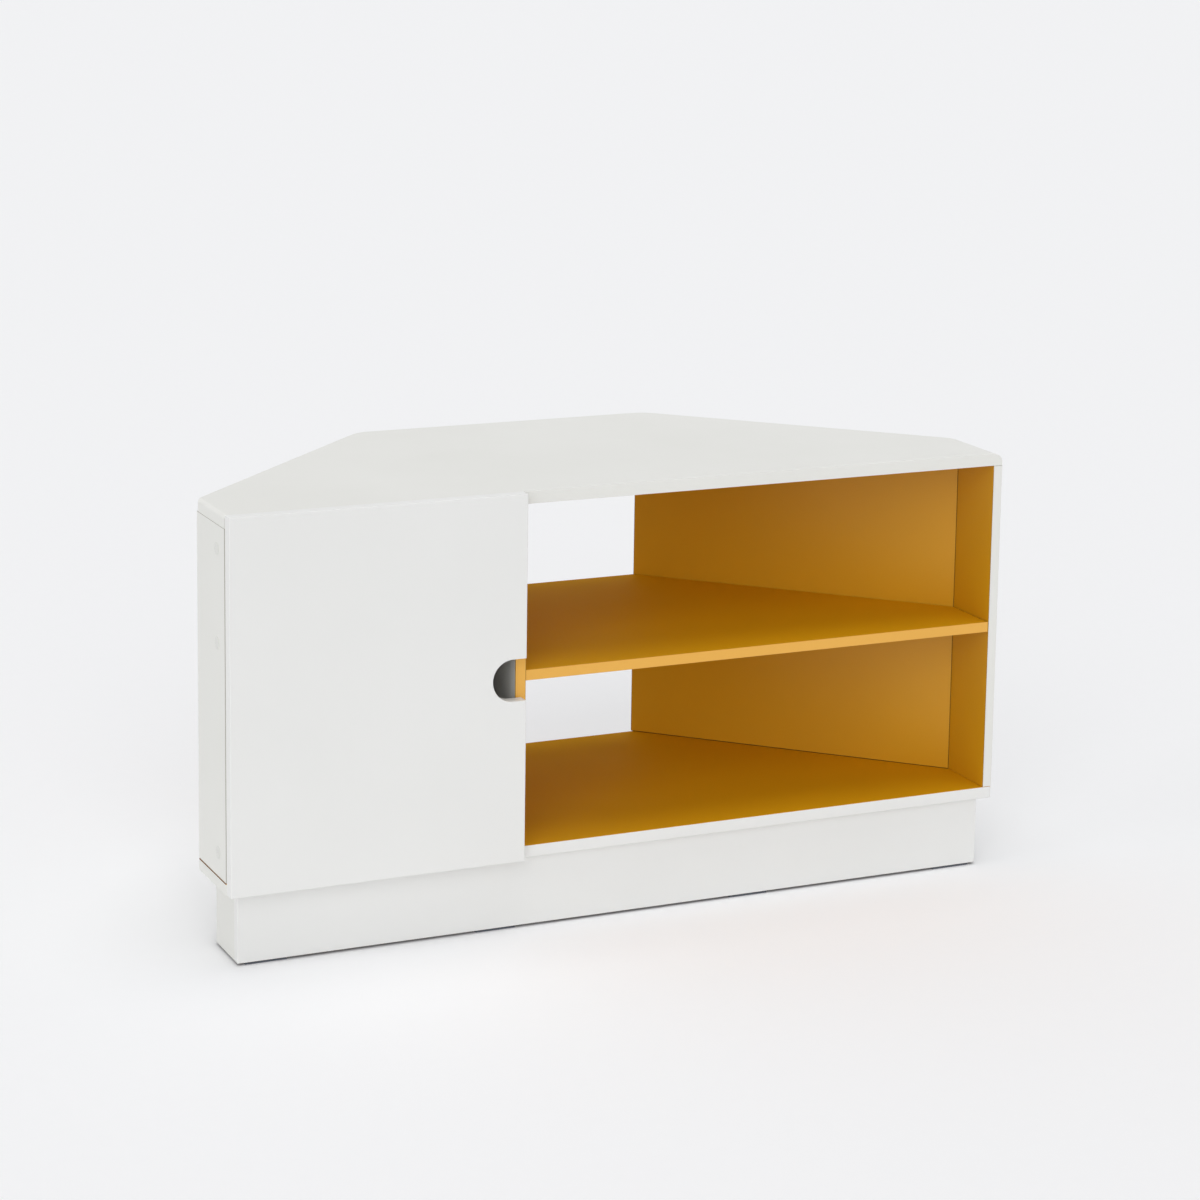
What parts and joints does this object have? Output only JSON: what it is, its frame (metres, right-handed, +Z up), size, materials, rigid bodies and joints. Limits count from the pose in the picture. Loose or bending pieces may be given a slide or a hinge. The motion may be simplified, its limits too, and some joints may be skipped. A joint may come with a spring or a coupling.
{
  "type": "corner tv cabinet",
  "caption": "Corner cabinet for a television, with slanted rear panels, an open shelved niche, a cupboard with an overlay door and round finger notch, and a recessed plinth.",
  "frame": {"origin": "on the floor under the centre of the bounding box", "axes": "+X along the width to the right as seen from the front, +Y to the rear, +Z up"},
  "size_m": [1.2012, 0.502, 0.634],
  "materials": {
    "white_board": "satin white melamine",
    "mustard_board": "satin mustard melamine",
    "mustard_edge": "satin edge band",
    "raw_wood": "bare beech",
    "steel": "nickel plated",
    "white_plastic": "matt",
    "clear_bumper": "soft clear",
    "glide": "matt"
  },
  "bodies": {
    "carcass": {"top_panel": "white_board", "base_panel": "white_board", "left_side_panel": "white_board", "right_side_panel": "white_board", "left_back_panel": "white_board", "right_back_panel": "mustard_board", "divider_panel": "mustard_board", "niche_shelf": "mustard_board", "cupboard_shelf": "white_board", "plinth_front": "white_board", "plinth_left_end": "white_board", "plinth_right_end": "white_board", "plinth_left_rail": "white_board", "plinth_right_rail": "white_board", "plinth_rear": "white_board", "plinth_cross_rail": "white_board", "plinth_corner_blocks": "raw_wood", "niche_shelf_edge_band": "mustard_edge", "divider_edge_band": "mustard_edge", "cam_locks": "steel", "cam_bolts": "steel", "wood_dowels": "raw_wood", "side_cover_caps": "white_plastic", "shelf_pins": "steel", "cupboard_shelf_screw": "steel", "lower_hinge_arm": "steel", "upper_hinge_arm": "steel", "lower_hinge_plate": "steel", "upper_hinge_plate": "steel", "hinge_plate_screws": "steel", "hinge_arm_screws": "steel", "floor_glides": "glide"},
    "door": {"door_panel": "white_board", "lower_hinge_cup": "steel", "upper_hinge_cup": "steel", "lower_hinge_pin": "steel", "upper_hinge_pin": "steel", "hinge_cup_screws": "steel", "door_bumpers": "clear_bumper"}
  },
  "joints": [
    {"name": "door_swing", "type": "hinge", "parent": "carcass", "child": "door", "pos_m": [-0.5925, -0.243, 0.37], "axis": [0, 0, -1], "range_deg": [0, 95]}
  ]
}
